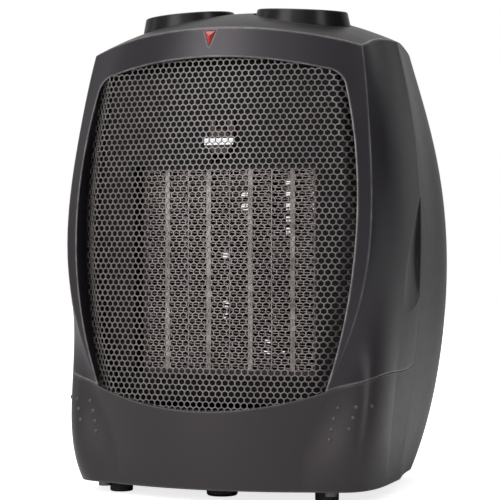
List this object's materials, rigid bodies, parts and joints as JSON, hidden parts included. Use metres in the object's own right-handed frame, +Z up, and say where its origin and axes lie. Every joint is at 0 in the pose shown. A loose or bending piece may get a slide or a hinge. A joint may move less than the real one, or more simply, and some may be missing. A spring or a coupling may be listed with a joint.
{
  "type": "ceramic space heater",
  "caption": "Tabletop ceramic heater: barrel-shaped charcoal case, hexagonal mesh front over a finned PTC element, axial fan, two top dials, grip in the back, tip-over switch.",
  "frame": {"origin": "middle of the footprint on the surface the feet stand on", "axes": "+X to the object's right seen from the front, +Y to the back (air blows to -Y), +Z up"},
  "size_m": [0.1806, 0.1557, 0.2523],
  "materials": {
    "housing": "satin moulded plastic, charcoal black",
    "crown": "satin moulded plastic, charcoal black",
    "base": "satin moulded plastic, charcoal black",
    "rear": "satin moulded plastic, slightly lighter charcoal",
    "dial": "satin moulded plastic, black",
    "mesh": "black coated expanded hexagonal steel mesh",
    "baffle": "semi-gloss dark sheet steel",
    "inner_plastic": "plain black engineering plastic",
    "heat_plastic": "heat-resistant grey-brown plastic",
    "bakelite": "dark phenolic moulding",
    "switch_plastic": "off-white nylon",
    "fan_plastic": "black glass-filled nylon",
    "ceramic": "PTC ceramic in bright sheaths",
    "fin_aluminium": "folded aluminium strip, warm from use",
    "brass": "bare stamped brass",
    "bright_steel": "bright plated steel",
    "screw_steel": "dark zinc-plated steel",
    "motor_can": "plated motor can",
    "red_lens": "clear red moulded lens",
    "lamp_glass": "neon lamp glass",
    "foot_rubber": "black rubber"
  },
  "bodies": {
    "case": {"front_housing": "housing", "top_cover": "crown", "base_shell": "base", "rear_housing": "rear", "grip_cup": "rear", "base_plate": "base", "feet": "foot_rubber", "front_grille": "mesh", "grille_retainer": "inner_plastic", "air_baffle": "baffle", "baffle_screws": "screw_steel", "thermal_cutout": "bakelite", "cutout_clip": "bright_steel", "ptc_frame": "heat_plastic", "ptc_strips": "ceramic", "ptc_fins": "fin_aluminium", "ptc_terminals": "brass", "fan_duct": "inner_plastic", "motor_spider": "inner_plastic", "motor_body": "motor_can", "mode_switch": "bakelite", "thermostat_body": "heat_plastic", "bush_nuts": "brass", "pilot_lens": "red_lens", "pilot_lamp": "lamp_glass", "lamp_holder": "inner_plastic", "tip_guide": "switch_plastic", "micro_switch": "bakelite", "terminal_block": "switch_plastic", "cord_gland": "foot_rubber", "floor_screws": "screw_steel", "case_screws": "screw_steel"},
    "mode_dial": {"mode_knob": "dial", "mode_shaft": "heat_plastic"},
    "thermostat_dial": {"thermostat_knob": "dial", "thermostat_shaft": "bright_steel"},
    "fan": {"fan_impeller": "fan_plastic", "motor_shaft": "bright_steel"},
    "plunger": {"tip_plunger": "inner_plastic", "tip_spring": "bright_steel"},
    "lever": {"tip_lever": "bright_steel"}
  },
  "joints": [
    {"name": "mode_turn", "type": "hinge", "parent": "case", "child": "mode_dial", "pos_m": [-0.032, -0.016, 0.2503], "axis": [-0.0635, -0.0592, 0.9962], "range_deg": [-150, 0]},
    {"name": "thermostat_turn", "type": "hinge", "parent": "case", "child": "thermostat_dial", "pos_m": [0.032, -0.016, 0.2503], "axis": [0.0635, -0.0592, 0.9962], "range_deg": [-270, 0]},
    {"name": "fan_spin", "type": "hinge", "parent": "case", "child": "fan", "pos_m": [0, 0.023, 0.1155], "axis": [0, 1, 0], "continuous": true},
    {"name": "plunger_drop", "type": "slide", "parent": "case", "child": "plunger", "axis": [0, 0, -1], "range_m": [0, 0.0058], "stiffness_N_per_m": 60, "springref_m": 0.012, "deforming": ["tip_spring"]},
    {"name": "lever_swing", "type": "hinge", "parent": "case", "child": "lever", "pos_m": [0.016, -0.048, 0.038], "axis": [0, -1, 0], "range_deg": [0, 17.3]}
  ],
  "couplings": [
    {"joint": "lever_swing", "follows": "plunger_drop", "rad_per_m": 52}
  ]
}
